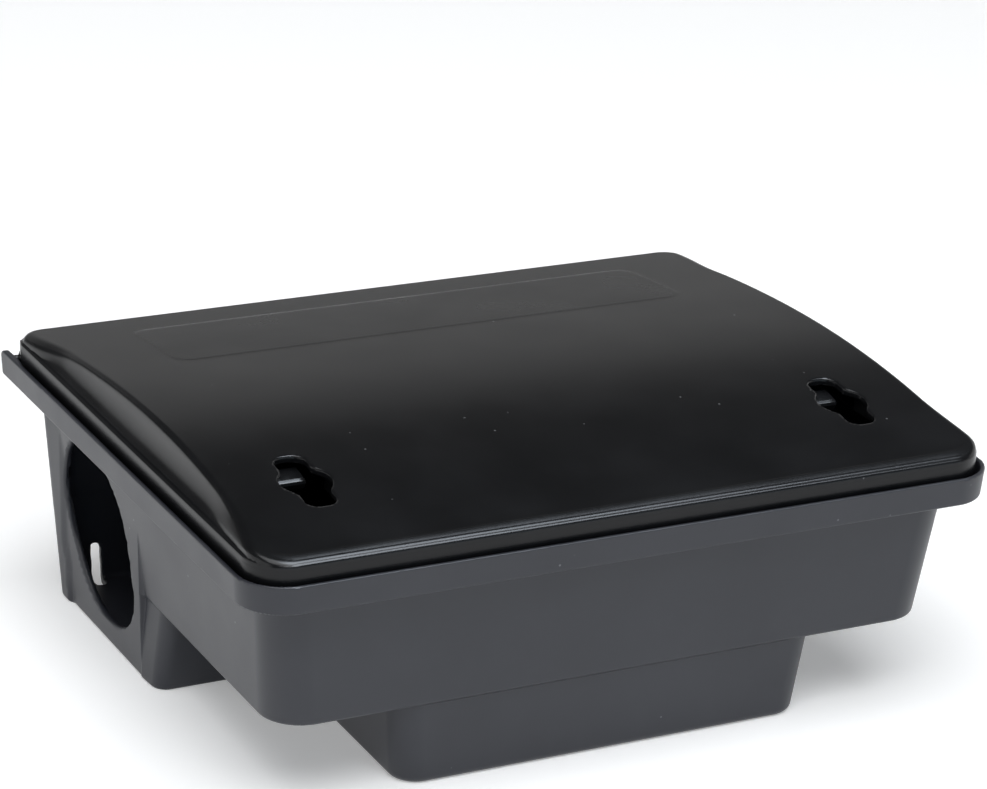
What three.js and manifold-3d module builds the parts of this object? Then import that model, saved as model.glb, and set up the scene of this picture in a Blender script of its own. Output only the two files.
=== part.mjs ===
// Lockable rodent bait station: hinged lid on a T-shaped moulded base.
// Millimetres, +Z up. Origin: centre of the footprint on the floor.
// +X runs along the long side, -Y is the front with the two locks, +Y the hinge side.
import * as THREE from 'three';
import { mergeVertices } from 'three/addons/utils/BufferGeometryUtils.js';
import Module from 'manifold-3d';

const wasm = await Module();
wasm.setup();

// ---------- driving dimensions ----------
const LENGTH = 230;          // over the rim, X
const FRONT = -95.7;         // front of the rim
const WALL = 2.2;            // moulded wall
const GAP = 0.35;            // running clearance between pieces

const RIM_BOT = 64.65;       // underside of the ledge
const LEDGE_TOP = 66.85;
const RIM_TOP = 73.2;        // top of the upright band
const RIM_R = 14;            // front corners of the rim
const RIM_THK = 2.1;
const RIM_TAPER = 0.7;       // the band draws in this much at its foot
const OVERHANG = 8.7;        // rim beyond the upper walls
const LEDGE_REAR = 91.0;

const DRAFT = 0.104;         // upper walls and front block
const REAR_DRAFT = 0.193;    // sloping rear wall
const REAR_FOOT = 77.0;      // rear wall at the floor
const SHELF = 25.4;          // underside of the raised front corners
const UP_X = LENGTH / 2 - OVERHANG;      // upper wall under the ledge
const UP_FRONT = FRONT + OVERHANG;
const UP_R = 12;

const TUN_X = 102.6;         // tunnel end panel at the floor
const TUN_DRAFT = 0.037;
const TUN_FRONT = -0.4;      // tunnel front wall at the floor
const POST_Y = 71.5;         // the rear corner posts stand proud from here
const POST_OUT = 2.0;
const BLOCK_X = 63.4;        // front block at the floor
const BLOCK_FRONT = -79.6;

const SLOT_X = 92.2, SLOT_W = 4.6, SLOT_TOP = 12.8;   // tie-down slots in the rear wall

const HINGE_Y = 90.5, HINGE_Z = 70.4;    // lid axis, along X
const EAR_END = 95.7, EAR_R = 2.0;    // the band runs on past the ledge as two ears, with a round top corner
const PIN_D = 3.0, PIN_END = 113.7, PIN_HOLE = 114.0;

const LID_X = 112.4;         // lid skirt
const LID_FRONT = -93.2;
const LID_REAR = 91.8;
const LID_R = 12;
const SKIRT_BOT = 67.2;
const SKIRT_REAR_BOT = 68.5;
const SLEEVE_REAR = -51.0;
const BEAD_TOP = 77.6;
const LID_THK = 2.3;
const CROWN_X = 108.2;       // side faces of the crown
const crownZ = (y) => { const s = y / 90; return 88.17 - 1.745 * s - 8.85 * s * s + 2.162 * s * s * s; };

const KEY_X = 83.8, KEY_Y0 = -70.4, KEY_Y1 = -43.6, KEY_W = 8.9, KEY_R = 7.3, KEY_YC = -57.2;

const BAFFLE_THK = 2.0, BAFFLE_Y = -1.2, BAFFLE_TOP = 82, PASSAGE = 36;
const RACK_X = 57.5, RACK_THK = 2.2, RACK_TOP = 50;
const ROD_D = 3.2, ROD_Z = 43, ROD_HALF = 66, ROD_YS = [-58.5, -24.5];
const BLOCK_SIZE = [34, 25, 27], BLOCK_XS = [-24, 24];

// ---------- helpers ----------
const toSolid = (geometry) => {
  let g = geometry.index ? geometry.toNonIndexed() : geometry;
  for (const k of Object.keys(g.attributes)) if (k !== 'position') g.deleteAttribute(k);
  g = mergeVertices(g, 1e-4);
  return new wasm.Manifold(new wasm.Mesh({
    numProp: 3,
    vertProperties: new Float32Array(g.attributes.position.array),
    triVerts: new Uint32Array(g.index.array),
  }));
};
const toGeometry = (solid) => {
  const m = solid.getMesh();
  const g = new THREE.BufferGeometry();
  g.setAttribute('position', new THREE.BufferAttribute(new Float32Array(m.vertProperties), 3));
  g.setIndex(new THREE.BufferAttribute(new Uint32Array(m.triVerts), 1));
  return g;
};
const warp = (g, fn) => {
  const p = g.attributes.position;
  for (let i = 0; i < p.count; i++) { const [x, y, z] = fn(p.getX(i), p.getY(i), p.getZ(i)); p.setXYZ(i, x, y, z); }
  return g;
};
// closed outline with rounded corners: pts = [x, y, r]
const outline = (pts) => {
  const s = new THREE.Shape(), n = pts.length;
  for (let i = 0; i < n; i++) {
    const [px, py] = pts[(i + n - 1) % n], [x, y, r] = pts[i], [nx, ny] = pts[(i + 1) % n];
    const a = new THREE.Vector2(px - x, py - y).normalize(), b = new THREE.Vector2(nx - x, ny - y).normalize();
    if (!r) { i ? s.lineTo(x, y) : s.moveTo(x, y); continue; }
    const half = Math.acos(THREE.MathUtils.clamp(a.dot(b), -1, 1)) / 2, t = r / Math.tan(half);
    const p0 = [x + a.x * t, y + a.y * t], p1 = [x + b.x * t, y + b.y * t];
    i ? s.lineTo(...p0) : s.moveTo(...p0);
    const c = a.clone().add(b).normalize().multiplyScalar(r / Math.sin(half));
    const cx = x + c.x, cy = y + c.y;
    const a0 = Math.atan2(p0[1] - cy, p0[0] - cx), a1 = Math.atan2(p1[1] - cy, p1[0] - cx);
    s.absarc(cx, cy, r, a0, a1, a.x * b.y - a.y * b.x > 0);
  }
  s.closePath();
  return s;
};
const extrudeZ = (shape, z0, z1, seg = 6) =>
  new THREE.ExtrudeGeometry(shape, { depth: z1 - z0, bevelEnabled: false, curveSegments: seg }).translate(0, 0, z0);
// profile given in (Y, Z), run along X
const extrudeX = (shape, x0, x1, seg = 10) => {
  const g = new THREE.ExtrudeGeometry(shape, { depth: x1 - x0, bevelEnabled: false, curveSegments: seg });
  return warp(g, (a, b, c) => [x0 + c, a, b]);
};
const box = (x0, x1, y0, y1, z0, z1) =>
  new THREE.BoxGeometry(x1 - x0, y1 - y0, z1 - z0).translate((x0 + x1) / 2, (y0 + y1) / 2, (z0 + z1) / 2);
const S = (g) => toSolid(g);
const rodX = (d, x0, x1, y, z, n = 24) =>
  new THREE.CylinderGeometry(d / 2, d / 2, x1 - x0, n).rotateZ(Math.PI / 2).translate((x0 + x1) / 2, y, z);

const group = new THREE.Group();
const add = (name, solidOrGeo, color, roughness, metalness = 0) => {
  const g = solidOrGeo.isBufferGeometry ? solidOrGeo : toGeometry(solidOrGeo);
  g.computeVertexNormals();
  const m = new THREE.Mesh(g, new THREE.MeshStandardMaterial({ color, roughness, metalness }));
  m.name = name;
  group.add(m);
};
const BODY_BLACK = 0x2b2c30, LID_BLACK = 0x1c1d1f, PART_GREY = 0x26272a, STEEL = 0xb9bcc0, BAIT = 0x2f6f8f;

// ---------- base ----------
const rearAt = (z) => REAR_FOOT + REAR_DRAFT * z;
// upper tray, drafted on all sides; d is the inset for the inner skin
const tray = (d, z0, z1) => {
  const xr = UP_X - d, yf = UP_FRONT + d, yr = rearAt(RIM_BOT) - d, r = Math.max(UP_R - d, 2);
  const g = extrudeZ(outline([[-xr, yf, r], [xr, yf, r], [xr, yr, 6 - d], [-xr, yr, 6 - d]]), z0, z1);
  return warp(g, (x, y, z) => {
    const k = DRAFT * (RIM_BOT - z);
    return [x - Math.sign(x) * k, y < 0 ? y + k : y - REAR_DRAFT * (RIM_BOT - z), z];
  });
};
// full-width rear tunnel with proud corner posts
const tunnel = (d, z0, z1) => {
  const x1 = TUN_X - d, x2 = TUN_X + POST_OUT - d, yf = TUN_FRONT + d, yr = REAR_FOOT - d, yp = POST_Y + d;
  const rr = 6.5 - d;
  const g = extrudeZ(outline([
    [-x1, yf, 3.5 - d * 0.8], [x1, yf, 3.5 - d * 0.8], [x1, yp - 1, 0], [x2, yp + 1, 0], [x2, yr, rr > 6.9 ? 0 : Math.min(rr, (yr - yp - 1) * 0.7)],
    [-x2, yr, rr > 6.9 ? 0 : Math.min(rr, (yr - yp - 1) * 0.7)], [-x2, yp + 1, 0], [-x1, yp - 1, 0]]), z0, z1);
  return warp(g, (x, y, z) => {
    const post = Math.abs(x) > x1 + 0.05;
    const kx = post ? 0.024 * z : TUN_DRAFT * z;
    return [x + Math.sign(x) * kx, y < 40 ? y - 0.1 * Math.min(z, SHELF) : (y > POST_Y + d + 1.2 ? y + REAR_DRAFT * z : y), z];
  });
};
const block = (d, z0, z1) => {
  const xb = BLOCK_X - d, yf = BLOCK_FRONT + d, r = 8 - d;
  const g = extrudeZ(outline([[-xb, yf, r], [xb, yf, r], [xb, 10, 0], [-xb, 10, 0]]), z0, z1);
  return warp(g, (x, y, z) => [x + Math.sign(x) * 0.099 * z, y < 0 ? y - 0.085 * z : y, z]);
};
// rim: ledge and upright band on the front and both sides, open at the back
const rimPrism = (d, z0, z1, taper) => {
  const xr = LENGTH / 2 - d, yf = FRONT + d, r = RIM_R - d;
  const g = extrudeZ(outline([[-xr, yf, r], [xr, yf, r], [xr, EAR_END, 0], [-xr, EAR_END, 0]]), z0, z1, 8);
  return taper ? warp(g, (x, y, z) => {
    const k = RIM_TAPER * (RIM_TOP - z) / (RIM_TOP - RIM_BOT);
    return [x - Math.sign(x) * k, y < 0 ? y + k : y, z];
  }) : g;
};
const earCorner = (() => {
  const s = new THREE.Shape(), y = EAR_END - EAR_R, z = RIM_TOP - EAR_R;
  s.moveTo(y, RIM_TOP + 1);
  s.lineTo(y, RIM_TOP);
  s.absarc(y, z, EAR_R, Math.PI / 2, 0, true);
  s.lineTo(EAR_END + 1, z);
  s.lineTo(EAR_END + 1, RIM_TOP + 1);
  s.closePath();
  return s;
})();
let outer = S(tray(0, SHELF, LEDGE_TOP)).add(S(tunnel(0, 0, RIM_BOT + 0.4))).add(S(block(0, 0, SHELF + 3)));
{
  const x = LENGTH / 2 - RIM_THK;
  outer = outer.add(S(rimPrism(0, RIM_BOT, RIM_TOP, true))
    .subtract(S(box(-x, x, LEDGE_REAR, 110, 60, 90)))
    .subtract(S(extrudeX(earCorner, -130, 130))));
}
let inner = S(tray(WALL, SHELF + WALL, RIM_TOP + 5)).add(S(tunnel(WALL, WALL, RIM_BOT + 4))).add(S(block(WALL, WALL, SHELF + 6)));
let base = outer.subtract(inner);
// hollow above the ledge, between the bands, open at the back
{
  const xr = LENGTH / 2 - RIM_THK, yf = FRONT + RIM_THK, r = RIM_R - RIM_THK;
  base = base.subtract(S(extrudeZ(outline([[-xr, yf, r], [xr, yf, r], [xr, 120, 0], [-xr, 120, 0]]), LEDGE_TOP, RIM_TOP + 10, 8)));
}
// entry holes through both ends of the tunnel
const holePts = [[16, 19], [15.9, 24], [17.1, 30], [19.6, 38], [23.7, 45.8], [28.5, 51], [35, 55.2], [44, 57.8], [53, 57.8], [61, 55],
  [67, 49.5], [69.6, 42], [69.6, 34.5], [67, 27], [62.5, 20.5], [57, 14.8], [50.5, 10], [43, 7.3], [35, 6.8], [27, 8.2], [20, 12.4]];
const holeShape = new THREE.Shape(new THREE.CatmullRomCurve3(holePts.map(([y, z]) => new THREE.Vector3(y, z, 0)), true, 'catmullrom', 0.5)
  .getPoints(44).slice(0, -1).map((v) => new THREE.Vector2(v.x, v.y)));
for (const sx of [-1, 1]) base = base.subtract(S(extrudeX(holeShape, sx > 0 ? 92 : -115, sx > 0 ? 115 : -92)));
// tie-down slots low in the rear wall
for (const sx of [-1, 1]) {
  const s = outline([[sx * SLOT_X - SLOT_W / 2, -1, 0], [sx * SLOT_X + SLOT_W / 2, -1, 0], [sx * SLOT_X + SLOT_W / 2, SLOT_TOP, 1.2], [sx * SLOT_X - SLOT_W / 2, SLOT_TOP, 1.2]]);
  const g = new THREE.ExtrudeGeometry(s, { depth: 10.3, bevelEnabled: false, curveSegments: 3 });
  base = base.subtract(S(warp(g, (a, b, c) => [a, 84.5 - c, b])));
}
// blind hinge pin holes in the inner faces of the ears
for (const sx of [-1, 1]) base = base.subtract(S(rodX(PIN_D + 0.6, sx > 0 ? 106 : -PIN_HOLE, sx > 0 ? PIN_HOLE : -106, HINGE_Y, HINGE_Z)));
// guide ribs for the baffles and the rod racks, cheeks beside the lock hooks
const HOOK_Y0 = -46.2, HOOK_Y1 = -42.8, HOOK_W = 8.2, HOOK_PIV = SHELF + WALL + 2.3;
for (const sx of [-1, 1]) {
  const bx = (x0, x1, ...r) => box(Math.min(sx * x0, sx * x1), Math.max(sx * x0, sx * x1), ...r);
  for (const sy of [-1, 1]) {
    const y0 = BAFFLE_Y + sy * (BAFFLE_THK / 2 + GAP), y1 = y0 + sy * 1.8;
    base = base.add(S(bx(99.2, 103.2, Math.min(y0, y1), Math.max(y0, y1), SHELF + 1, 62)));
    const x0 = KEY_X + sy * (HOOK_W / 2 + GAP), x1 = x0 + sy * 1.8;
    base = base.add(S(bx(Math.min(x0, x1), Math.max(x0, x1), HOOK_Y0 - 2.5, HOOK_Y1 + 2.5, SHELF + 1, SHELF + WALL + 9)));
    const rx0 = RACK_X + sy * (RACK_THK / 2 + GAP), rx1 = rx0 + sy * 1.6;
    if (sy < 0) for (const yy of [-74, -14]) base = base.add(S(bx(Math.min(rx0, rx1), Math.max(rx0, rx1), yy, yy + 4, 1, 12)));
  }
}
add('base_shell', base, BODY_BLACK, 0.55);

// ---------- lid ----------
const lidPrism = (d, z0, z1, xr0 = LID_X, r0 = LID_R) => {
  const xr = xr0 - d, yf = LID_FRONT + d, yr = LID_REAR - d, r = Math.max(r0 - d, 2);
  return extrudeZ(outline([[-xr, yf, r], [xr, yf, r], [xr, yr, Math.max(5 - d, 1.5)], [-xr, yr, Math.max(5 - d, 1.5)]]), z0, z1, 8);
};
const crownProfile = (d, y0, y1, zb) => {
  const s = new THREE.Shape();
  s.moveTo(y0, zb);
  s.lineTo(y1, zb);
  const n = 28;
  for (let i = n; i >= 0; i--) { const y = y0 + (y1 - y0) * i / n; s.lineTo(y, crownZ(y) - d); }
  s.closePath();
  return s;
};
const crownBlock = (d) => S(extrudeX(crownProfile(d, LID_FRONT - 2, LID_REAR + 2, 60), -(CROWN_X - d), CROWN_X - d))
  .intersect(S(extrudeZ(outline([[-(CROWN_X - d), LID_FRONT + d, 9], [CROWN_X - d, LID_FRONT + d, 9], [CROWN_X - d, LID_REAR - d, 5], [-(CROWN_X - d), LID_REAR - d, 5]]), 50, 100, 8)));
let lid = S(lidPrism(0, SKIRT_BOT, BEAD_TOP)).add(crownBlock(0).intersect(S(box(-120, 120, -120, 120, SKIRT_BOT, 100))));
lid = lid.subtract(S(lidPrism(LID_THK, SKIRT_BOT - 5, BEAD_TOP - LID_THK)));
lid = lid.subtract(crownBlock(LID_THK).intersect(S(box(-120, 120, -120, 120, SKIRT_BOT - 5, 100))));
// the rear skirt is cut shorter, and rounded about the hinge axis, so the lid can swing right back
lid = lid.subtract(S(box(-(LID_X - LID_THK), LID_X - LID_THK, 85, 100, 60, SKIRT_REAR_BOT)));
{
  const cut = S(box(-130, 130, HINGE_Y, 100, 60, HINGE_Z)).subtract(S(rodX(6.2, -125, 125, HINGE_Y, HINGE_Z, 32)));
  lid = lid.subtract(cut);
}
// round bosses inside the skirt for the hinge pins
for (const sx of [-1, 1]) {
  const a = 106.5, b = LID_X - 0.2;
  lid = lid.add(S(rodX(6.2, sx > 0 ? a : -b, sx > 0 ? b : -a, HINGE_Y, HINGE_Z, 32)));
  lid = lid.add(S(box(sx > 0 ? a : -b, sx > 0 ? b : -a, HINGE_Y - 3, HINGE_Y + 1.9, HINGE_Z, 76)));
  lid = lid.subtract(S(rodX(PIN_D + 0.6, sx > 0 ? 107.5 : -118, sx > 0 ? 118 : -107.5, HINGE_Y, HINGE_Z)));
}
// key openings: a slot with a wider round middle, and under each a short sleeve, open behind where the hook stands
for (const sx of [-1, 1]) {
  const cx = sx * KEY_X;
  const sleeve = (w, y0, y1, z0, z1) => S(extrudeZ(outline([[cx - w, y0, 2], [cx + w, y0, 2], [cx + w, y1, 2], [cx - w, y1, 2]]), z0, z1, 3));
  lid = lid.add(sleeve(9.6, -74.2, -34.4, 78.6, 86).subtract(sleeve(8.1, -72.6, -36, 70, 90)).subtract(S(box(cx - 12, cx + 12, SLEEVE_REAR, -30, 70, 90))).intersect(crownBlock(0.8)));
  const slot = S(extrudeZ(outline([[cx - KEY_W / 2, KEY_Y0, 3.6], [cx + KEY_W / 2, KEY_Y0, 3.6], [cx + KEY_W / 2, KEY_Y1, 3.6], [cx - KEY_W / 2, KEY_Y1, 3.6]]), 70, 95, 5))
    .add(S(new THREE.CylinderGeometry(KEY_R, KEY_R, 25, 28).rotateX(Math.PI / 2).translate(cx, KEY_YC, 82.5)));
  lid = lid.subtract(slot);
}
add('lid_shell', lid, LID_BLACK, 0.32);

// ---------- hinge pins ----------
for (const [n, sx] of [['left', -1], ['right', 1]]) {
  const a = 107.9, b = PIN_END;
  add(n + '_hinge_pin', rodX(PIN_D, sx > 0 ? a : -b, sx > 0 ? b : -a, HINGE_Y, HINGE_Z, 24), STEEL, 0.3, 0.9);
}

// ---------- lock hooks: upright sprung posts with a nose, seen through the key openings ----------
const hookProfile = (() => {
  const s = new THREE.Shape(), z0 = HOOK_PIV, top = 81.0;
  s.moveTo(HOOK_Y1 - 0.4, z0);
  s.lineTo(HOOK_Y1 - 0.4, 74);
  s.lineTo(HOOK_Y1 + 0.6, 76.5);
  s.lineTo(HOOK_Y1 + 0.6, top - 1);
  s.lineTo(HOOK_Y1 - 0.4, top);
  s.lineTo(HOOK_Y0 - 1.6, top);
  s.lineTo(HOOK_Y0 - 2.8, top - 1.2);
  s.lineTo(HOOK_Y0 - 2.8, top - 2.6);
  s.lineTo(HOOK_Y0 + 0.4, top - 4.2);
  s.lineTo(HOOK_Y0 + 0.2, z0);
  s.absarc((HOOK_Y0 + HOOK_Y1) / 2 - 0.1, z0, 1.4 + 0.0, Math.PI, 2 * Math.PI, false);
  s.closePath();
  return s;
})();
for (const [n, sx] of [['left', -1], ['right', 1]]) {
  const c = sx * KEY_X;
  add(n + '_lock_hook', extrudeX(hookProfile, c - HOOK_W / 2, c + HOOK_W / 2, 8), PART_GREY, 0.5);
}

// ---------- baffles between the tunnel and the feeding chamber ----------
for (const [n, sx] of [['left', -1], ['right', 1]]) {
  const pts = [[99.85, SHELF + WALL + GAP], [103.7, RIM_BOT], [103.7, BAFFLE_TOP], [PASSAGE, BAFFLE_TOP], [PASSAGE, WALL + GAP], [60.6, WALL + GAP], [62.6, SHELF + WALL - 0.4], [63.2, SHELF + WALL + GAP]];
  const s = new THREE.Shape();
  pts.forEach(([x, z], i) => (i ? s.lineTo(x, z) : s.moveTo(x, z)));
  s.closePath();
  const g = new THREE.ExtrudeGeometry(s, { depth: BAFFLE_THK, bevelEnabled: false });
  warp(g, (a, b, c) => [a, BAFFLE_Y + BAFFLE_THK / 2 - c, b]);
  let m = S(g);
  if (sx < 0) m = m.mirror([1, 0, 0]);
  add(n + '_baffle', m, PART_GREY, 0.6);
}

// ---------- rod racks: notched plates on both sides of the bait well ----------
for (const [n, sx] of [['left', -1], ['right', 1]]) {
  const s = new THREE.Shape();
  s.moveTo(-75.2, WALL + GAP); s.lineTo(-8, WALL + GAP); s.lineTo(-8, RACK_TOP - 6); s.lineTo(-14, RACK_TOP);
  for (const y of [...ROD_YS].sort((a, b) => b - a)) {
    const w = ROD_D / 2 + 0.35;
    s.lineTo(y + w + 1.6, RACK_TOP); s.lineTo(y + w, RACK_TOP - 2); s.lineTo(y + w, ROD_Z);
    s.absarc(y, ROD_Z, w, 0, -Math.PI, true);
    s.lineTo(y - w, RACK_TOP - 2); s.lineTo(y - w - 1.6, RACK_TOP);
  }
  s.lineTo(-72, RACK_TOP); s.lineTo(-76.6, RACK_TOP - 6); s.lineTo(-76.6, 20);
  s.closePath();
  const x0 = sx * RACK_X - RACK_THK / 2;
  add(n + '_rod_rack', extrudeX(s, x0, x0 + RACK_THK, 6), PART_GREY, 0.6);
}

// ---------- bait rods with their blocks ----------
[['front', ROD_YS[0]], ['rear', ROD_YS[1]]].forEach(([n, y]) => {
  add(n + '_bait_rod', rodX(ROD_D, -ROD_HALF, ROD_HALF, y, ROD_Z, 20), STEEL, 0.3, 0.9);
  [['left', BLOCK_XS[0]], ['right', BLOCK_XS[1]]].forEach(([m, x]) => {
    const [a, b, c] = BLOCK_SIZE;
    const s = outline([[y - b / 2, ROD_Z - c / 2 - 2, 2.5], [y + b / 2, ROD_Z - c / 2 - 2, 2.5], [y + b / 2, ROD_Z + c / 2 - 2, 2.5], [y - b / 2, ROD_Z + c / 2 - 2, 2.5]]);
    const solid = S(extrudeX(s, x - a / 2, x + a / 2, 3)).subtract(S(rodX(ROD_D + 1.4, x - a, x + a, y, ROD_Z, 20)));
    add(n + '_' + m + '_bait_block', solid, BAIT, 0.8);
  });
});

// ---------- loose bait tray in the well ----------
{
  const t = (d, z0, z1) => S(warp(extrudeZ(outline([[-50 + d, -73 + d, 6 - d], [50 - d, -73 + d, 6 - d], [50 - d, -9 - d, 6 - d], [-50 + d, -9 - d, 6 - d]]), z0, z1, 4),
    (x, y, z) => [x + Math.sign(x) * 0.05 * (z - 3), y + (y < -40 ? -1 : 1) * 0.05 * (z - 3), z]));
  let tr = t(0, WALL + GAP, 16).subtract(t(1.8, WALL + GAP + 1.8, 30));
  const lug = S(box(-7, 7, -13.2, -8.6, 14, 16)).subtract(S(box(-100, 100, -12, -11, 0, 1)));
  tr = tr.add(lug);
  add('bait_tray', tr, PART_GREY, 0.6);
}

export default group;
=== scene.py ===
import math

import bmesh
import bpy
import numpy as np
from mathutils import Matrix, Vector


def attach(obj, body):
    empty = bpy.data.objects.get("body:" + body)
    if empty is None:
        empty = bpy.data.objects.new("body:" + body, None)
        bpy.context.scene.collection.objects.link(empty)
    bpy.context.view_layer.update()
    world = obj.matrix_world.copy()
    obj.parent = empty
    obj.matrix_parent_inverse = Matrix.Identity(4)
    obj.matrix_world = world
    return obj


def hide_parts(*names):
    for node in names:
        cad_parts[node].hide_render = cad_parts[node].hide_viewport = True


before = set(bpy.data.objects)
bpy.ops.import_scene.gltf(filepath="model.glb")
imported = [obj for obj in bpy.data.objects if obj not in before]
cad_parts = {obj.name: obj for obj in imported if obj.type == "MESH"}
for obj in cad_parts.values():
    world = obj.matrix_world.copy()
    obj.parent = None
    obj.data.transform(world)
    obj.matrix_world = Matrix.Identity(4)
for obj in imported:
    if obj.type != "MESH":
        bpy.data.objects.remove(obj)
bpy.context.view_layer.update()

# ------------------------------------------------------------------ sizes, mm
LENGTH = 230.0
FRONT = -95.7
WALL = 2.2
RIM_BOT, LEDGE_TOP, RIM_TOP = 64.65, 66.85, 72.9
RIM_R, RIM_THK, RIM_TAPER, OVERHANG, LEDGE_REAR = 14.0, 2.1, 0.7, 8.7, 91.0
DRAFT, REAR_DRAFT, REAR_FOOT, SHELF = 0.104, 0.193, 77.0, 25.4
UP_X, UP_FRONT, UP_R = LENGTH / 2 - OVERHANG, FRONT + OVERHANG, 12.0
TUN_X, TUN_DRAFT, TUN_FRONT, POST_Y, POST_OUT = 102.6, 0.037, -0.4, 71.5, 2.0
BLOCK_X, BLOCK_FRONT, CREASE = 63.4, -79.6, 10.6
SLOT_X, SLOT_W, SLOT_TOP = 91.3, 3.1, 12.8
HINGE_Y, HINGE_Z, EAR_R, EAR_END, PIN_D, PIN_HOLE = 90.5, 70.4, 3.2, 95.7, 3.0, 113.75
LID_X, LID_FRONT, LID_REAR, LID_R = 112.4, -93.2, 91.8, 12.0
SKIRT_BOT, SKIRT_REAR_BOT, BEAD_TOP, LID_THK, CROWN_X = 67.2, 68.5, 77.6, 2.3, 108.2
KEY_X, KEY_Y0, KEY_Y1, KEY_W, KEY_R, KEY_YC = 83.8, -70.4, -43.6, 8.9, 7.3, -57.2
HOLE = [[16, 19], [15.9, 24], [17.1, 30], [19.6, 38], [23.7, 45.8], [28.5, 51], [35, 55.2], [44, 57.8], [53, 57.8], [61, 55],
        [67, 49.5], [69.6, 42], [69.6, 34.5], [67, 27], [62.5, 20.5], [57, 14.8], [50.5, 10], [43, 7.3], [35, 6.8], [27, 8.2], [20, 12.4]]


# ------------------------------------------------------------------ solid shapes as distance fields
def sstep(t):
    t = np.clip(t, 0, 1)
    return t * t * (3 - 2 * t)


def rr2(x, y, x0, x1, y0, y1, r):
    """Signed distance to a rectangle with round corners."""
    qx = np.abs(x - (x0 + x1) / 2) - ((x1 - x0) / 2 - r)
    qy = np.abs(y - (y0 + y1) / 2) - ((y1 - y0) / 2 - r)
    return np.hypot(np.maximum(qx, 0), np.maximum(qy, 0)) + np.minimum(np.maximum(qx, qy), 0) - r


def ru(a, b, r):
    return np.maximum(r, np.minimum(a, b)) - np.hypot(np.maximum(r - a, 0), np.maximum(r - b, 0))


def ri(a, b, r):
    return np.minimum(-r, np.maximum(a, b)) + np.hypot(np.maximum(r + a, 0), np.maximum(r + b, 0))


def rd(a, b, r):
    return ri(a, -b, r)


def box3(x, y, z, x0, x1, y0, y1, z0, z1, r=0.3):
    qx = np.abs(x - (x0 + x1) / 2) - ((x1 - x0) / 2 - r)
    qy = np.abs(y - (y0 + y1) / 2) - ((y1 - y0) / 2 - r)
    qz = np.abs(z - (z0 + z1) / 2) - ((z1 - z0) / 2 - r)
    out = np.sqrt(np.maximum(qx, 0) ** 2 + np.maximum(qy, 0) ** 2 + np.maximum(qz, 0) ** 2)
    return out + np.minimum(np.maximum(np.maximum(qx, qy), qz), 0) - r


def smooth_loop(points, per=6):
    """A closed Catmull-Rom curve through the points."""
    p = np.array(points, float)
    n = len(p)
    out = []
    for i in range(n):
        a, b, c, d = p[i - 1], p[i], p[(i + 1) % n], p[(i + 2) % n]
        for k in range(per):
            t = k / per
            out.append(0.5 * (2 * b + (c - a) * t + (2 * a - 5 * b + 4 * c - d) * t * t + (3 * b - a - 3 * c + d) * t ** 3))
    return np.array(out)


def poly_table(poly, pad=14.0, h=0.5):
    """Signed distance to a closed polygon, tabled on a grid and read back by bilinear look-up."""
    lo, hi = poly.min(0) - pad, poly.max(0) + pad
    us, vs = np.arange(lo[0], hi[0] + h, h), np.arange(lo[1], hi[1] + h, h)
    U, V = np.meshgrid(us, vs, indexing="ij")
    best = np.full(U.shape, 1e9)
    odd = np.zeros(U.shape, bool)
    for i in range(len(poly)):
        a, b = poly[i], poly[(i + 1) % len(poly)]
        e = b - a
        t = np.clip(((U - a[0]) * e[0] + (V - a[1]) * e[1]) / (e @ e), 0, 1)
        best = np.minimum(best, np.hypot(U - a[0] - t * e[0], V - a[1] - t * e[1]))
        if a[1] != b[1]:
            hit = ((a[1] > V) != (b[1] > V)) & (U < (b[0] - a[0]) * (V - a[1]) / (b[1] - a[1]) + a[0])
            odd ^= hit
    table = np.where(odd, -best, best)

    def look(u, v):
        i = np.clip((u - lo[0]) / h, 0, len(us) - 1.001)
        j = np.clip((v - lo[1]) / h, 0, len(vs) - 1.001)
        i0, j0 = i.astype(int), j.astype(int)
        fi, fj = i - i0, j - j0
        d = (table[i0, j0] * (1 - fi) * (1 - fj) + table[i0 + 1, j0] * fi * (1 - fj)
             + table[i0, j0 + 1] * (1 - fi) * fj + table[i0 + 1, j0 + 1] * fi * fj)
        away = np.maximum(np.maximum(lo[0] - u, u - hi[0]), np.maximum(lo[1] - v, v - hi[1]))
        return np.where(away > 0, d + away, d)

    return look


def lines(*spans):
    """Grid lines from spans (start, end, step); spans meet end to end."""
    out = []
    for a, b, h in spans:
        n = max(1, int(round((b - a) / h)))
        out.extend(np.linspace(a, b, n + 1)[(1 if out else 0):])
    return np.array(out)


def mirrored(half):
    half = np.asarray(half)
    return np.concatenate([-half[::-1], half if half[0] > 1e-9 else half[1:]])


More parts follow.
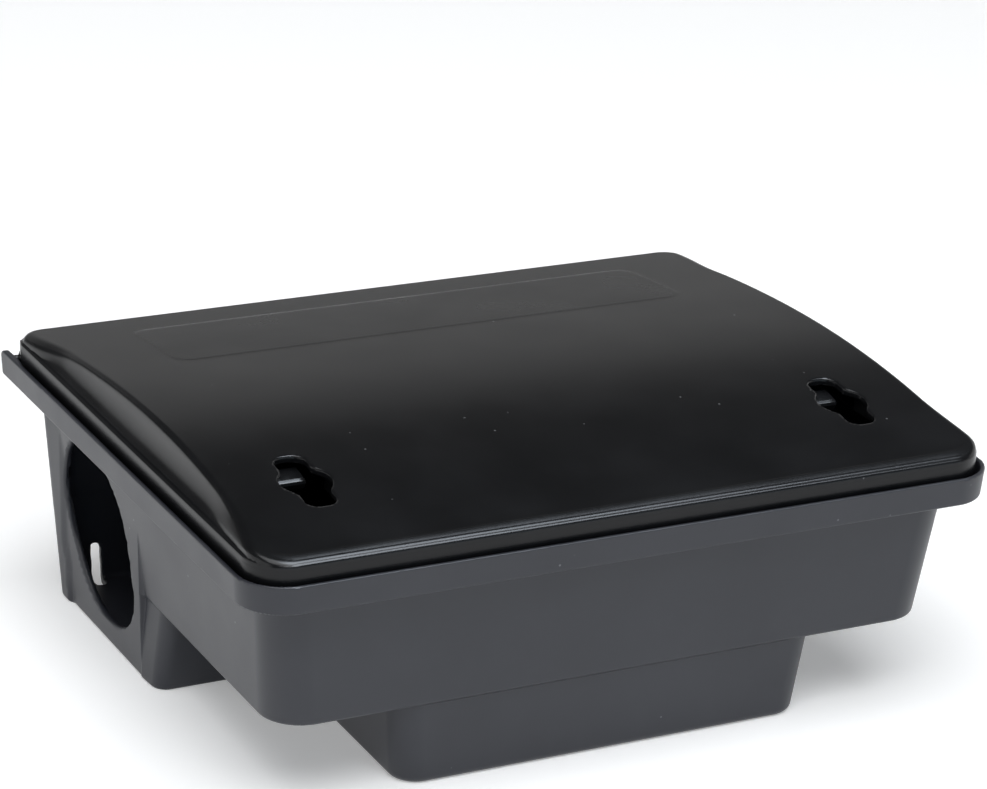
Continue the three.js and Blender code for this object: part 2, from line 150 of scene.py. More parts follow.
def surface(f, xs, ys, zs, relax=2, name="piece"):
    """Surface-nets mesh of f = 0 on an uneven grid, pulled exactly onto the surface, with its true normals. mm in, metres out."""
    X, Y, Z = np.meshgrid(xs, ys, zs, indexing="ij")
    V = np.asarray(f(X, Y, Z), float)
    ins = V < 0
    nx, ny, nz = len(xs) - 1, len(ys) - 1, len(zs) - 1
    acc = np.zeros((nx, ny, nz, 3))
    cnt = np.zeros((nx, ny, nz))
    P = [X, Y, Z]
    for ax in range(3):
        lo = [slice(None)] * 3
        hi = [slice(None)] * 3
        lo[ax], hi[ax] = slice(0, -1), slice(1, None)
        lo, hi = tuple(lo), tuple(hi)
        cross = ins[lo] != ins[hi]
        idx = np.argwhere(cross)
        a, b = V[lo][cross], V[hi][cross]
        t = a / (a - b)
        pt = np.stack([P[k][lo][cross] + t * (P[k][hi][cross] - P[k][lo][cross]) for k in range(3)], 1)
        o1, o2 = [k for k in range(3) if k != ax]
        for d1 in (0, 1):
            for d2 in (0, 1):
                c = idx.copy()
                c[:, o1] -= d1
                c[:, o2] -= d2
                ok = (c >= 0).all(1) & (c[:, 0] < nx) & (c[:, 1] < ny) & (c[:, 2] < nz)
                np.add.at(acc, tuple(c[ok].T), pt[ok])
                np.add.at(cnt, tuple(c[ok].T), 1)
    has = cnt > 0
    number = np.full(cnt.shape, -1, int)
    number[has] = np.arange(has.sum())
    pos = acc[has] / cnt[has][:, None]
    cell = np.argwhere(has)
    size = np.stack([np.diff(xs)[cell[:, 0]], np.diff(ys)[cell[:, 1]], np.diff(zs)[cell[:, 2]]], 1)
    low = np.stack([xs[cell[:, 0]], ys[cell[:, 1]], zs[cell[:, 2]]], 1)
    quads = []
    for ax in range(3):
        lo = [slice(None)] * 3
        hi = [slice(None)] * 3
        lo[ax], hi[ax] = slice(0, -1), slice(1, None)
        cross = ins[tuple(lo)] != ins[tuple(hi)]
        idx = np.argwhere(cross)
        flip = ins[tuple(lo)][cross]
        o1, o2 = [(1, 2), (2, 0), (0, 1)][ax]
        inner = (idx[:, o1] > 0) & (idx[:, o2] > 0) & (idx[:, o1] < [nx, ny, nz][o1]) & (idx[:, o2] < [nx, ny, nz][o2])
        idx, flip = idx[inner], flip[inner]
        ring = []
        for d1, d2 in ((1, 1), (0, 1), (0, 0), (1, 0)):
            c = idx.copy()
            c[:, o1] -= d1
            c[:, o2] -= d2
            ring.append(number[tuple(c.T)])
        q = np.stack(ring, 1)
        q[~flip] = q[~flip][:, ::-1]
        quads.append(q)
    quads = np.concatenate(quads)

    def grad(p, h=0.04):
        g = np.empty_like(p)
        for k in range(3):
            d = np.zeros(3)
            d[k] = h
            g[:, k] = (f(*(p + d).T) - f(*(p - d).T)) / (2 * h)
        return g

    def pull(p, n=3):
        for _ in range(n):
            v = f(*p.T)
            g = grad(p)
            s = (g ** 2).sum(1)
            step = -(v / np.maximum(s, 0.05))[:, None] * g
            cap = 0.5 * size.min(1) + 0.15
            length = np.linalg.norm(step, axis=1)
            p = p + step * np.minimum(1, cap / np.maximum(length, 1e-9))[:, None]
        return p

    pos = pull(pos)
    e = np.concatenate([quads[:, [0, 1]], quads[:, [1, 2]], quads[:, [2, 3]], quads[:, [3, 0]]])
    e = np.concatenate([e, e[:, ::-1]])
    deg = np.maximum(np.bincount(e[:, 0], minlength=len(pos)), 1)[:, None]
    for _ in range(relax):
        mean = np.stack([np.bincount(e[:, 0], weights=pos[e[:, 1], k], minlength=len(pos)) for k in range(3)], 1) / deg
        moved = pos + 0.35 * (mean - pos)
        moved = np.clip(moved, low - 0.15 * size, low + 1.15 * size)
        pos = pull(moved, 2)
    g = grad(pos)
    normal = g / np.maximum(np.linalg.norm(g, axis=1), 1e-9)[:, None]
    me = bpy.data.meshes.new(name)
    me.vertices.add(len(pos))
    me.vertices.foreach_set("co", (pos / 1000).astype(np.float32).ravel())
    me.loops.add(len(quads) * 4)
    me.loops.foreach_set("vertex_index", quads.astype(np.int32).ravel())
    me.polygons.add(len(quads))
    me.polygons.foreach_set("loop_start", np.arange(0, len(quads) * 4, 4, dtype=np.int32))
    me.polygons.foreach_set("loop_total", np.full(len(quads), 4, np.int32))
    me.polygons.foreach_set("use_smooth", np.ones(len(quads), bool))
    me.update(calc_edges=True)
    me.validate()
    me.normals_split_custom_set_from_vertices([tuple(n) for n in normal])
    o = bpy.data.objects.new(name, me)
    bpy.context.scene.collection.objects.link(o)
    return o


# ------------------------------------------------------------------ base moulding
hole2d = poly_table(smooth_loop(HOLE))
HOOK_Y0, HOOK_Y1, HOOK_W = -46.2, -42.8, 8.2
BAFFLE_Y, BAFFLE_THK, RACK_X, RACK_THK = -1.2, 2.0, 57.5, 2.2
GAP = 0.35


def base_sdf(x, y, z):
    ax = np.abs(x)
    k = DRAFT * (RIM_BOT - z)
    zc = np.clip(z, 0, None)
    hf = UP_X - k
    panel = TUN_X + TUN_DRAFT * zc
    post = TUN_X + 1.2 + 1.0 * np.clip((y - 70) / 16, 0, 1) + 0.024 * zc
    seam = TUN_FRONT - 0.1 * np.clip(z, 0, SHELF)
    t1 = sstep((y - CREASE + 0.9) / 1.6)
    t2 = sstep((y - 68.0 + 2.6 * sstep((20 - z) / 10)) / (4.0 - 2.0 * np.clip((8 - z) / 8, 0, 1)))
    hx = hf + (np.maximum(hf, panel) - hf) * t1
    hx = hx + (np.maximum(hx, post) - hx) * t2
    nose = TUN_X + 0.45 - 0.05 * zc - 0.07 * (CREASE - y)
    ht = nose + (panel - nose) * sstep((y - CREASE + 0.3) / 0.6)
    ht = ht + (np.maximum(panel, post) - panel) * t2
    yf, yr = UP_FRONT + k, REAR_FOOT + REAR_DRAFT * z
    rear = y > 20

    def upper(d):
        return rr2(x, y, -(hx - d), hx - d, yf + d, yr - d, np.where(rear, 6.5 - d, UP_R - d))

    def lower(d):
        return ri(ri(ax - (ht - d), seam + d - y, 4.4 - d), y - (yr - d), 6.5 - d)

    def well(d):
        hb = BLOCK_X + 0.099 * zc - d
        return rr2(x, y, -hb, hb, BLOCK_FRONT - 0.085 * zc + d, 20.0, 8.0 - d)

    a = ri(upper(0), SHELF - z, 1.1)
    tun = np.maximum(ri(lower(0), -z, 1.0), z - np.where(y < CREASE, 28.0, 60.0))
    blk = np.maximum(ri(well(0), -z, 2.2), z - SHELF - 3)
    t = np.maximum(ru(tun, blk, 3.0), -z)
    fade = np.clip((100.2 - ax) / 2, 0, 1) * np.clip((y + 80.0) / 2.5, 0, 1)
    body = ru(a, t, 0.12 + 1.9 * fade)
    body = np.maximum(body, z - LEDGE_TOP)
    taper = RIM_TAPER * (RIM_TOP - z) / (RIM_TOP - RIM_BOT)
    hr = LENGTH / 2 - taper
    rim = rr2(x, y, -hr, hr, FRONT + taper, EAR_END, np.where(y < 0, RIM_R - taper, 0.8))
    rim = ri(ri(rim, RIM_BOT - z, 0.5), z - RIM_TOP, 0.35)
    ear = rr2(y, z, -300.0, EAR_END, RIM_BOT - 50, RIM_TOP, EAR_R)
    rim = np.where(y > 60, ri(rim, ear, 0.5), rim)
    rim = rd(rim, np.maximum(ax - (LENGTH / 2 - RIM_THK), LEDGE_REAR - y), 0.5)
    thin = 0.8 * np.clip((z - LEDGE_TOP) / (RIM_TOP - LEDGE_TOP), 0, 1) * np.clip((84 - y) / 4, 0, 1)
    body = ru(body, rim, 1.1 * np.clip((93 - y) / 3, 0.02, 1))
    top = rr2(x, y, -(LENGTH / 2 - RIM_THK), LENGTH / 2 - RIM_THK, FRONT + RIM_THK, 220.0, np.where(y < 60, RIM_R - RIM_THK, 1.0)) - thin
    body = rd(body, ri(top, LEDGE_TOP - z, 0.8), 0.3)
    # hollow
    ia = ri(upper(WALL), SHELF + WALL - z, 1.8)
    it = ru(ri(lower(WALL), WALL - z, 1.2), np.maximum(ri(well(WALL), WALL - z, 1.5), z - SHELF - 6), 1.5)
    fade = np.clip((97.8 - ax) / 2, 0, 1) * np.clip((y + 77.5) / 2.5, 0, 1)
    body = rd(body, ru(ia, it, 0.12 + 1.0 * fade), 0.6)
    # entry holes
    h2 = hole2d(y, z) + 0.5
    body = np.where(ax > 80, rd(body, np.maximum(h2, 92 - ax), 0.75), body)
    # tie-down slots
    s2 = rr2(ax, z, SLOT_X - SLOT_W / 2, SLOT_X + SLOT_W / 2, -6.0, SLOT_TOP, 1.3)
    body = rd(body, np.maximum(s2, np.maximum(71.6 - y, y - 88)), 0.35)
    # pin holes
    body = rd(body, np.maximum(np.hypot(y - HINGE_Y, z - HINGE_Z) - (PIN_D / 2 + 0.3), np.maximum(106 - ax, ax - PIN_HOLE)), 0.2)
    # guide ribs for the baffles, cheeks beside the lock hooks, guides for the racks
    for s in (-1, 1):
        y0 = BAFFLE_Y + s * (BAFFLE_THK / 2 + GAP)
        y1 = y0 + s * 1.8
        body = ru(body, np.maximum(box3(ax, y, z, 99.2, 103.2, min(y0, y1), max(y0, y1), SHELF + 1, 62, 0.3), ax - hf + 1.1), 0.5)
        x0 = KEY_X + s * (HOOK_W / 2 + GAP)
        x1 = x0 + s * 1.8
        body = ru(body, box3(ax, y, z, min(x0, x1), max(x0, x1), HOOK_Y0 - 2.5, HOOK_Y1 + 2.5, SHELF + 1, SHELF + WALL + 9, 0.3), 0.6)
    x1 = RACK_X - RACK_THK / 2 - GAP
    for yy in (-74.0, -14.0):
        body = ru(body, box3(ax, y, z, x1 - 1.6, x1, yy, yy + 4, 1, 12, 0.3), 0.5)
    return body


def crown_z(y):
    s = y / 90
    return 88.17 - 1.745 * s - 8.85 * s * s + 2.162 * s ** 3


def key_2d(x, y):
    ax = np.abs(x)
    a = rr2(ax, y, KEY_X - KEY_W / 2, KEY_X + KEY_W / 2, KEY_Y0, KEY_Y1, 3.6)
    b = np.hypot(ax - KEY_X, y - KEY_YC) - KEY_R
    return ru(a, b, 1.0)


PANEL_HX, PANEL_Y0, PANEL_Y1 = 83.5, 33.5, 71.5


def lid_sdf(x, y, z):
    ax = np.abs(x)
    s = rr2(x, y, -LID_X, LID_X, LID_FRONT, LID_REAR, np.where(y < 0, LID_R, 8.2))
    half = CROWN_X + 0.1 * (86 - z) + 0.034 * np.clip(84.5 - z, 0, 7) ** 2
    half = half + (111.8 - half) * np.maximum(sstep((y - 56) / 30), 0.95 * sstep((-50 - y) / 36) * np.clip((84 - z) / 5, 0, 1))
    c2 = rr2(x, y, -half, half, LID_FRONT + 0.02, LID_REAR - 0.6, np.where(y < 0, 11.2, 7.6))
    panel = rr2(x, y, -PANEL_HX, PANEL_HX, PANEL_Y0, PANEL_Y1, 6.0)
    raised = 0.12 * sstep(0.5 - panel / 2.0)
    slope = (-1.745 - 17.7 * (y / 90) + 6.486 * (y / 90) ** 2) / 90
    norm = np.sqrt(1 + slope ** 2)
    ctop = (z - crown_z(y) - raised) / norm
    skirt = ri(s, z - 76.75, 0.7)
    bead = rr2(s, z, -2.7, 0.0, 66.0, 77.85, 0.8)
    shell = ru(skirt, bead, 0.05 + 0.6 * np.clip((-s - 2.0) / 0.8, 0, 1))
    crown = ri(c2, ctop, 1.6 + 1.6 * sstep((y - 46) / 36))
    shell = ru(shell, crown, 0.05 + 3.2 * np.clip((-s - 1.2) / 2.5, 0, 1))
    shell = ri(shell, SKIRT_BOT - z, 0.4)
    inner_top = (z - crown_z(y)) / norm + LID_THK
    hollow = ru(ri(s + LID_THK, z - 74.9, 0.8), ri(c2 + LID_THK, inner_top, 1.0), 0.8)
    shell = rd(shell, hollow, 0.35)
    shell = rd(shell, np.maximum(np.maximum(ax - (LID_X - LID_THK), 85 - y), z - SKIRT_REAR_BOT), 0.3)
    disc = np.hypot(y - HINGE_Y, z - HINGE_Z)
    shell = rd(shell, np.maximum(np.maximum(HINGE_Y - y, z - HINGE_Z), 3.1 - disc), 0.15)
    boss = np.minimum(disc - 2.6, rr2(y, z, HINGE_Y - 2.6, HINGE_Y + 1.2, HINGE_Z, 76.2, 0.3))
    boss = ri(boss, np.abs(ax - (106.5 + 110.2) / 2) - (110.2 - 106.5) / 2, 0.3)
    shell = ru(shell, boss, 0.25)
    shell = rd(shell, np.maximum(disc - (PIN_D / 2 + 0.3), 107.5 - ax), 0.2)
    # sleeve under each key opening
    so = rr2(ax, y, KEY_X - 9.6, KEY_X + 9.6, -74.2, -34.4, 2.4)
    si = rr2(ax, y, KEY_X - 8.1, KEY_X + 8.1, -72.6, -36.0, 1.4)
    sleeve = ri(ri(ri(np.maximum(so, -si), 78.6 - z, 0.4), y + 51.0, 0.4), inner_top - 0.6, 0.1)
    shell = ru(shell, sleeve, 0.5)
    shell = rd(shell, np.maximum(key_2d(x, y), 72 - z), 0.6)
    return shell


q = 1.0
base_xs = mirrored(lines((0, 52, 5), (52, 57.5, 0.85 * q), (57.5, 60, 1.2 * q), (60, 68, 0.9 * q), (68, 76, 2.6), (76, 80.5, 0.8 * q), (80.5, 87, 1.6), (87, 95, 0.8 * q),
                         (95, 98, 1.0), (98, 111.2, 0.9 * q), (111.2, 115.4, 0.65 * q)))
base_ys = lines((-96.8, -92, 0.6 * q), (-92, -75, 0.9 * q), (-75, -69, 1.2 * q), (-69, -50, 3.6), (-50, -39, 1.0 * q), (-39, -16, 4.5), (-16, -8, 1.2 * q), (-8, -5.5, 1.2), (-5.5, 9.4, 0.8 * q), (9.4, 11.8, 0.4 * q), (11.8, 13, 1.2),
                (13, 50, 1.8 * q), (50, 60, 0.9 * q), (60, 72, 1.5 * q), (72, 96.8, 1.0 * q))
base_zs = lines((-1, 5.5, 0.75 * q), (5.5, 22, 1.6 * q), (22, 31, 0.8 * q), (31, 61, 1.6 * q), (61, 74, 0.75 * q))
base = surface(base_sdf, base_xs, base_ys, base_zs, name="base_moulding")
lid_xs = mirrored(lines((0, 72, 5), (72, 95, 0.75 * q), (95, 101, 2.0), (101, 113.6, 0.5 * q)))
lid_ys = lines((-94.4, -86, 0.5 * q), (-86, -75.5, 2.0), (-75.5, -33, 0.75 * q), (-33, 32, 3.2), (32, 35, 0.5 * q), (35, 40, 1.0 * q), (40, 65, 3.1), (65, 70, 1.0 * q), (70, 73, 0.5 * q), (73, 81, 1.6), (81, 93, 0.55 * q))
lid_zs = lines((66.6, 79.4, 0.5 * q), (79.4, 89.4, 0.8 * q))
lid = surface(lid_sdf, lid_xs, lid_ys, lid_zs, name="lid_moulding")
hook2d = poly_table(np.array([(-43.2, 29.9), (-43.2, 74.0), (-42.2, 76.5), (-42.2, 82.6), (-47.5, 81.5), (-48.6, 81.0), (-48.8, 80.1), (-48.2, 78.6), (-45.8, 76.8), (-46.0, 29.9)]), 8.0, 0.2)
hooks = []
for side, sign in (("left", -1), ("right", 1)):
    hooks.append(surface(lambda x, y, z: ri(hook2d(y, z), np.abs(x - sign * KEY_X) - HOOK_W / 2, 0.35), lines((sign * KEY_X - 5, sign * KEY_X - 3.4, 0.2 * q), (sign * KEY_X - 3.4, sign * KEY_X + 3.4, 1.7), (sign * KEY_X + 3.4, sign * KEY_X + 5, 0.2 * q)),
                         lines((-49.6, -41.4, 0.22 * q)), lines((29.2, 31, 0.25 * q), (31, 73, 3.0), (73, 83.2, 0.22 * q)), name=side + "_hook_moulding"))
# bait blocks: pressed wax with gnawing ridges down each long face, threaded on the rods
BLOCK_SIZE, BLOCK_XS, ROD_YS, ROD_Z, ROD_D = [34, 25, 27], [-24, 24], [-58.5, -24.5], 43, 3.2


def block_sdf(x, y, z):
    u, v, w = (k / 2 for k in BLOCK_SIZE)
    d = box3(x, y, z + 2, -u, u, -v, v, -w, w, 2.0)
    ridge = 0.45 * (1 + np.cos(2 * math.pi * x / 4.6)) * sstep((u - 1.5 - np.abs(x)) / 2)
    d = d + ridge * sstep((np.abs(y) - v + 4) / 4) * sstep((w - 1.0 - np.abs(z + 2)) / 2)
    d = d + 0.35 * (1 + np.cos(2 * math.pi * y / 4.6)) * sstep((np.abs(x) - u + 3) / 3) * sstep((v - 2 - np.abs(y)) / 2) * sstep((w - 1.0 - np.abs(z + 2)) / 2)
    return rd(d, np.hypot(y, z) - ROD_D / 2 - 0.7, 0.5)


blocks = []
for row, yc in zip(("front", "rear"), ROD_YS):
    for side, xc in zip(("left", "right"), BLOCK_XS):
        u, v, w = (k / 2 for k in BLOCK_SIZE)
        g = 0.62 * q
        o = surface(lambda x, y, z: block_sdf(x - xc, y - yc, z - ROD_Z), lines((xc - u - 1, xc + u + 1, g)), lines((yc - v - 1, yc + v + 1, g)), lines((ROD_Z - 2 - w - 1, ROD_Z - 2 + w + 1, g)),
                    name=row + "_" + side + "_wax")
        blocks.append((o, row, side))


# ------------------------------------------------------------------ materials
def nodes_of(name):
    m = bpy.data.materials.new(name)
    m.use_nodes = True
    nt = m.node_tree
    b = nt.nodes["Principled BSDF"]
    return m, nt, b


def plastic(name, dark, light, rough0, rough1, grain=0.00035, bump=0.05, specks=0.35, mottle=35.0, ior=1.49):
    """Moulded polypropylene: fine grain, slow mottling, small pale specks of dust."""
    m, nt, b = nodes_of(name)
    N, L = nt.nodes, nt.links
    tc = N.new("ShaderNodeTexCoord")
    big = N.new("ShaderNodeTexNoise")
    big.inputs["Scale"].default_value = mottle
    big.inputs["Detail"].default_value = 5
    L.new(tc.outputs["Object"], big.inputs["Vector"])
    fine = N.new("ShaderNodeTexNoise")
    fine.inputs["Scale"].default_value = 1 / grain / 2
    fine.inputs["Detail"].default_value = 3
    fine.inputs["Roughness"].default_value = 0.6
    L.new(tc.outputs["Object"], fine.inputs["Vector"])
    mix = N.new("ShaderNodeMix")
    mix.data_type = "RGBA"
    mix.inputs["A"].default_value = (*dark, 1)
    mix.inputs["B"].default_value = (*light, 1)
    ramp = N.new("ShaderNodeMapRange")
    ramp.inputs["From Min"].default_value = 0.35
    ramp.inputs["From Max"].default_value = 0.68
    L.new(big.outputs["Fac"], ramp.inputs["Value"])
    L.new(ramp.outputs["Result"], mix.inputs["Factor"])
    vor = N.new("ShaderNodeTexVoronoi")
    vor.inputs["Scale"].default_value = 230
    L.new(tc.outputs["Object"], vor.inputs["Vector"])
    dot = N.new("ShaderNodeMapRange")
    dot.inputs["From Min"].default_value = 0.05
    dot.inputs["From Max"].default_value = 0.09
    dot.inputs["To Min"].default_value = 1
    dot.inputs["To Max"].default_value = 0
    L.new(vor.outputs["Distance"], dot.inputs["Value"])
    pick = N.new("ShaderNodeMath")
    pick.operation = "GREATER_THAN"
    pick.inputs[1].default_value = 0.93
    sep = N.new("ShaderNodeSeparateColor")
    L.new(vor.outputs["Color"], sep.inputs["Color"])
    L.new(sep.outputs["Red"], pick.inputs[0])
    mul = N.new("ShaderNodeMath")
    mul.operation = "MULTIPLY"
    L.new(dot.outputs["Result"], mul.inputs[0])
    L.new(pick.outputs["Value"], mul.inputs[1])
    amt = N.new("ShaderNodeMath")
    amt.operation = "MULTIPLY"
    amt.inputs[1].default_value = specks
    L.new(mul.outputs["Value"], amt.inputs[0])
    mix2 = N.new("ShaderNodeMix")
    mix2.data_type = "RGBA"
    mix2.inputs["B"].default_value = (0.32, 0.33, 0.34, 1)
    L.new(mix.outputs["Result"], mix2.inputs["A"])
    L.new(amt.outputs["Value"], mix2.inputs["Factor"])
    L.new(mix2.outputs["Result"], b.inputs["Base Color"])
    rr = N.new("ShaderNodeMapRange")
    rr.inputs["From Min"].default_value = 0.3
    rr.inputs["From Max"].default_value = 0.7
    rr.inputs["To Min"].default_value = rough0
    rr.inputs["To Max"].default_value = rough1
    L.new(big.outputs["Fac"], rr.inputs["Value"])
    L.new(rr.outputs["Result"], b.inputs["Roughness"])
    bp = N.new("ShaderNodeBump")
    bp.inputs["Strength"].default_value = bump
    bp.inputs["Distance"].default_value = 0.0002
    L.new(fine.outputs["Fac"], bp.inputs["Height"])
    L.new(bp.outputs["Normal"], b.inputs["Normal"])
    b.inputs["IOR"].default_value = ior
    return m


def steel(name):
    m, nt, b = nodes_of(name)
    N, L = nt.nodes, nt.links
    tc = N.new("ShaderNodeTexCoord")
    mp = N.new("ShaderNodeMapping")
    mp.inputs["Scale"].default_value = (60, 2500, 2500)
    L.new(tc.outputs["Object"], mp.inputs["Vector"])
    no = N.new("ShaderNodeTexNoise")
    no.inputs["Scale"].default_value = 1
    no.inputs["Detail"].default_value = 4
    L.new(mp.outputs["Vector"], no.inputs["Vector"])
    cr = N.new("ShaderNodeMix")
    cr.data_type = "RGBA"
    cr.inputs["A"].default_value = (0.2, 0.205, 0.215, 1)
    cr.inputs["B"].default_value = (0.36, 0.365, 0.375, 1)
    L.new(no.outputs["Fac"], cr.inputs["Factor"])
    L.new(cr.outputs["Result"], b.inputs["Base Color"])
    rr = N.new("ShaderNodeMapRange")
    rr.inputs["To Min"].default_value = 0.22
    rr.inputs["To Max"].default_value = 0.42
    L.new(no.outputs["Fac"], rr.inputs["Value"])
    L.new(rr.outputs["Result"], b.inputs["Roughness"])
    b.inputs["Metallic"].default_value = 1.0
    return m


def wax(name):
    m, nt, b = nodes_of(name)
    N, L = nt.nodes, nt.links
    tc = N.new("ShaderNodeTexCoord")
    big = N.new("ShaderNodeTexNoise")
    big.inputs["Scale"].default_value = 140
    big.inputs["Detail"].default_value = 6
    L.new(tc.outputs["Object"], big.inputs["Vector"])
    vor = N.new("ShaderNodeTexVoronoi")
    vor.inputs["Scale"].default_value = 420
    L.new(tc.outputs["Object"], vor.inputs["Vector"])
    ramp = N.new("ShaderNodeValToRGB")
    ramp.color_ramp.elements[0].color = (0.012, 0.06, 0.1, 1)
    ramp.color_ramp.elements[0].position = 0.3
    ramp.color_ramp.elements[1].color = (0.05, 0.2, 0.29, 1)
    ramp.color_ramp.elements[1].position = 0.72
    L.new(big.outputs["Fac"], ramp.inputs["Fac"])
    mx = N.new("ShaderNodeMix")
    mx.data_type = "RGBA"
    mx.inputs["B"].default_value = (0.32, 0.3, 0.2, 1)
    sep = N.new("ShaderNodeSeparateColor")
    L.new(vor.outputs["Color"], sep.inputs["Color"])
    gt = N.new("ShaderNodeMapRange")
    gt.inputs["From Min"].default_value = 0.86
    gt.inputs["From Max"].default_value = 0.9
    gt.inputs["To Max"].default_value = 0.6
    L.new(sep.outputs["Red"], gt.inputs["Value"])
    L.new(gt.outputs["Result"], mx.inputs["Factor"])
    L.new(ramp.outputs["Color"], mx.inputs["A"])
    L.new(mx.outputs["Result"], b.inputs["Base Color"])
    rr = N.new("ShaderNodeMapRange")
    rr.inputs["To Min"].default_value = 0.5
    rr.inputs["To Max"].default_value = 0.75
    L.new(big.outputs["Fac"], rr.inputs["Value"])
    L.new(rr.outputs["Result"], b.inputs["Roughness"])
    bp = N.new("ShaderNodeBump")
    bp.inputs["Strength"].default_value = 0.5
    bp.inputs["Distance"].default_value = 0.0006
    L.new(vor.outputs["Distance"], bp.inputs["Height"])
    L.new(bp.outputs["Normal"], b.inputs["Normal"])
    return m


BASE_MAT = plastic("base_plastic", (0.0185, 0.0197, 0.0255), (0.024, 0.0252, 0.0315), 0.35, 0.44, ior=1.455)
LID_MAT = plastic("lid_plastic", (0.0045, 0.0047, 0.0053), (0.006, 0.0062, 0.007), 0.21, 0.27, bump=0.03, ior=1.335)
# the text panel on the crown is moulded a little rougher than the rest
lt = LID_MAT.node_tree
lb = lt.nodes["Principled BSDF"]
ltc = lt.nodes.new("ShaderNodeTexCoord")
lsep = lt.nodes.new("ShaderNodeSeparateXYZ")
lt.links.new(ltc.outputs["Object"], lsep.inputs["Vector"])


def band(out, centre, half, soft):
    sub = lt.nodes.new("ShaderNodeMath")
    sub.operation = "SUBTRACT"
    sub.inputs[1].default_value = centre
    lt.links.new(lsep.outputs[out], sub.inputs[0])
    ab = lt.nodes.new("ShaderNodeMath")
    ab.operation = "ABSOLUTE"
    lt.links.new(sub.outputs["Value"], ab.inputs[0])
    mr = lt.nodes.new("ShaderNodeMapRange")
    mr.inputs["From Min"].default_value = half - soft
    mr.inputs["From Max"].default_value = half
    mr.inputs["To Min"].default_value = 1
    mr.inputs["To Max"].default_value = 0
    lt.links.new(ab.outputs["Value"], mr.inputs["Value"])
    return mr.outputs["Result"]


mask = lt.nodes.new("ShaderNodeMath")
mask.operation = "MULTIPLY"
lt.links.new(band("X", 0, PANEL_HX / 1000, 0.001), mask.inputs[0])
lt.links.new(band("Y", (PANEL_Y0 + PANEL_Y1) / 2000, (PANEL_Y1 - PANEL_Y0) / 2000, 0.001), mask.inputs[1])
tilt = lt.nodes.new("ShaderNodeMath")
tilt.operation = "MULTIPLY_ADD"
tilt.inputs[1].default_value = 0.108
lt.links.new(lsep.outputs["Y"], tilt.inputs[0])
lt.links.new(lsep.outputs["Z"], tilt.inputs[2])
outer = lt.nodes.new("ShaderNodeMath")
outer.operation = "GREATER_THAN"
outer.inputs[1].default_value = 0.0889
lt.links.new(tilt.outputs["Value"], outer.inputs[0])
both = lt.nodes.new("ShaderNodeMath")
both.operation = "MULTIPLY"
lt.links.new(mask.outputs["Value"], both.inputs[0])
lt.links.new(outer.outputs["Value"], both.inputs[1])
mask = both
matte = lt.nodes.new("ShaderNodeMath")
matte.operation = "MULTIPLY_ADD"
matte.inputs[1].default_value = 0.05
lt.links.new(mask.outputs["Value"], matte.inputs[0])
lt.links.new(lb.inputs["Roughness"].links[0].from_socket, matte.inputs[2])
lt.links.new(matte.outputs["Value"], lb.inputs["Roughness"])
pale = lt.nodes.new("ShaderNodeMix")
pale.data_type = "RGBA"
pale.inputs["B"].default_value = (0.0115, 0.0117, 0.0122, 1)
lt.links.new(lb.inputs["Base Color"].links[0].from_socket, pale.inputs["A"])
lt.links.new(mask.outputs["Value"], pale.inputs["Factor"])
lt.links.new(pale.outputs["Result"], lb.inputs["Base Color"])
PART_MAT = plastic("insert_plastic", (0.0055, 0.0058, 0.0066), (0.0078, 0.0081, 0.0092), 0.2, 0.29)
STEEL_MAT = steel("rod_steel")
WAX_MAT = wax("bait_wax")


def dress(o, mat, body=None, replaces=None):
    o.data.materials.clear()
    o.data.materials.append(mat)
    if body:
        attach(o, body)
    if replaces:
        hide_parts(replaces)
    return o


dress(base, BASE_MAT, "base", "base_shell")
dress(lid, LID_MAT, "lid", "lid_shell")
for o, side in zip(hooks, ("left", "right")):
    dress(o, PART_MAT, side + "_lock", side + "_lock_hook")
for o, row, side in blocks:
    dress(o, WAX_MAT, row + "_rod", row + "_" + side + "_bait_block")
for n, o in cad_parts.items():
    if n in ("base_shell", "lid_shell", "left_lock_hook", "right_lock_hook") or "bait_block" in n:
        continue
    mat = STEEL_MAT if "bait_rod" in n else PART_MAT
    o.data.materials.clear()
    o.data.materials.append(mat)
    weld = o.modifiers.new("weld", "WELD")
    weld.merge_threshold = 1e-6
    bev = o.modifiers.new("round", "BEVEL")
    bev.width = 0.00035
    bev.segments = 3
    bev.limit_method = "ANGLE"
    bev.angle_limit = math.radians(35)
    bev.harden_normals = True
    for poly in o.data.polygons:
        poly.use_smooth = True

# ------------------------------------------------------------------ floor, light, camera
fm, nt, fb = nodes_of("floor_paper")
fb.inputs["Roughness"].default_value = 0.9
fno = nt.nodes.new("ShaderNodeTexNoise")
fno.inputs["Scale"].default_value = 3
fmix = nt.nodes.new("ShaderNodeMix")
fmix.data_type = "RGBA"
fmix.inputs["A"].default_value = (0.86, 0.86, 0.86, 1)
fmix.inputs["B"].default_value = (0.9, 0.9, 0.9, 1)
nt.links.new(fno.outputs["Fac"], fmix.inputs["Factor"])
nt.links.new(fmix.outputs["Result"], fb.inputs["Base Color"])
fb.inputs["Emission Color"].default_value = (1, 1, 1, 1)
fb.inputs["Emission Strength"].default_value = 0.26
bm = bmesh.new()
S = 14.0
vs = [bm.verts.new(p) for p in ((-S, -S, 0), (S, -S, 0), (S, S, 0), (-S, S, 0))]
bm.faces.new(vs)
fme = bpy.data.meshes.new("floor")
bm.to_mesh(fme)
bm.free()
floor = bpy.data.objects.new("floor", fme)
bpy.context.scene.collection.objects.link(floor)
fme.materials.append(fm)

scene = bpy.context.scene
scene.view_settings.view_transform = "Standard"
scene.view_settings.look = "None"
world = bpy.data.worlds.new("studio")
scene.world = world
world.use_nodes = True
world.node_tree.nodes["Background"].inputs["Color"].default_value = (1, 1, 1, 1)
world.node_tree.nodes["Background"].inputs["Strength"].default_value = 0.075


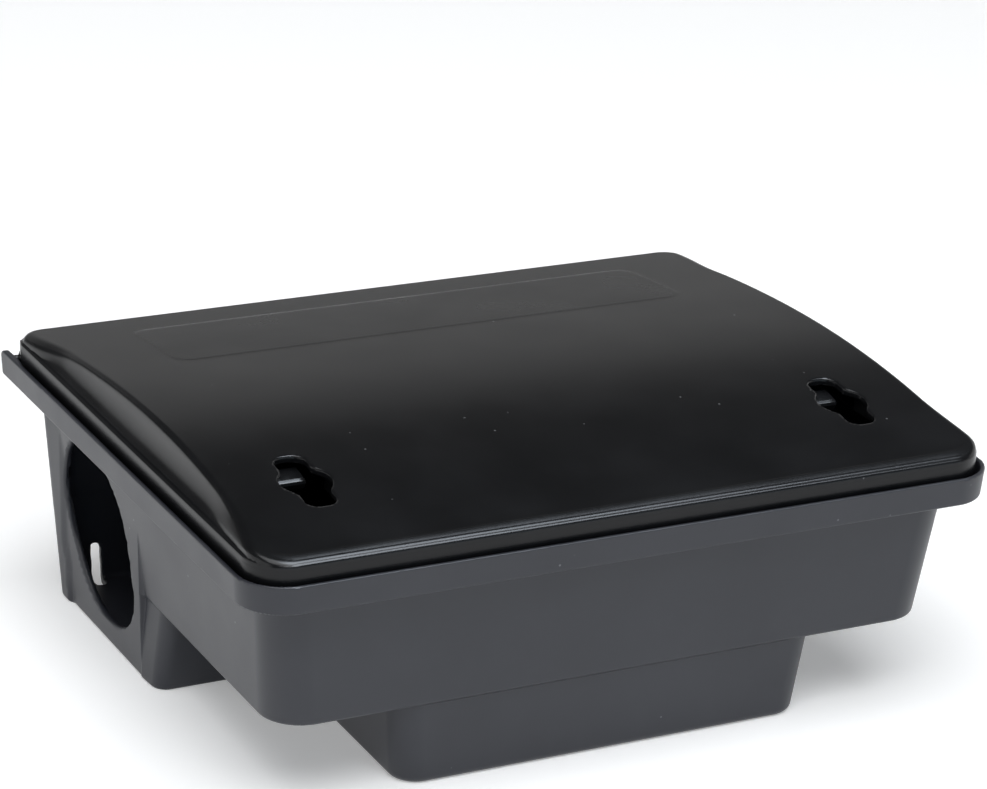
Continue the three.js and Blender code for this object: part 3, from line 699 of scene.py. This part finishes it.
def area(name, loc, target, size, size_y, power, color=(1, 1, 1), glossy=True, diffuse=True):
    d = bpy.data.lights.new(name, "AREA")
    d.shape = "RECTANGLE"
    d.size, d.size_y, d.energy, d.color = size, size_y, power, color
    o = bpy.data.objects.new(name, d)
    scene.collection.objects.link(o)
    o.location = loc
    o.rotation_euler = (Vector(target) - Vector(loc)).to_track_quat("-Z", "Y").to_euler()
    o.visible_glossy, o.visible_diffuse = glossy, diffuse
    return o


def radiance(level, size, size_y):
    return level * math.pi * size * size_y


area("overhead", (-0.3, -0.7, 2.1), (0, 0, 0), 2.2, 2.2, radiance(4.2, 2.2, 2.2), (0.97, 0.985, 1.0))
area("strip", (0.5, -0.3, 2.0), (0.1, 0, 0), 1.7, 0.75, radiance(12.0, 1.7, 0.75), (0.82, 0.9, 1.0), diffuse=False)
area("left_wall", (-2.3, 0.2, 0.55), (0, 0.1, 0.05), 4.0, 1.1, radiance(1.35, 4.0, 1.1))
area("front_wall", (0.4, -2.6, 0.55), (0, 0, 0.05), 4.4, 1.1, radiance(1.1, 4.4, 1.1), (0.7, 0.86, 1.0))
area("right_wall", (2.4, -0.2, 0.5), (0, 0, 0.05), 3.6, 1.0, radiance(0.9, 3.6, 1.0))
area("back_wall", (0.9, 2.4, 0.8), (0, 0, 0.06), 5.0, 0.8, radiance(0.36, 5.0, 0.8), diffuse=False)
area("back_low", (0.9, 2.35, 0.18), (0, 0, 0.06), 5.0, 0.34, radiance(0.15, 5.0, 0.34), diffuse=False)

# camera: 27.7 degrees left of the front, 21.1 down, rolled 2.7
AZ, EL, ROLL = math.radians(27.67), math.radians(21.10), math.radians(2.67)
fwd = Vector((math.sin(AZ) * math.cos(EL), math.cos(AZ) * math.cos(EL), -math.sin(EL)))
right = Vector((math.cos(AZ), -math.sin(AZ), 0))
up = right.cross(fwd)
r2 = right * math.cos(ROLL) + up * math.sin(ROLL)
u2 = up * math.cos(ROLL) - right * math.sin(ROLL)
cam_data = bpy.data.cameras.new("camera")
cam = bpy.data.objects.new("camera", cam_data)
bpy.context.scene.collection.objects.link(cam)
cam_data.lens = 134.74
cam_data.sensor_width = 36
cam_data.clip_start, cam_data.clip_end = 0.05, 60
m = Matrix((r2, u2, -fwd)).transposed().to_4x4()
m.translation = Vector((-0.4622, -0.8843, 0.4624))
cam.matrix_world = m
bpy.context.scene.camera = cam
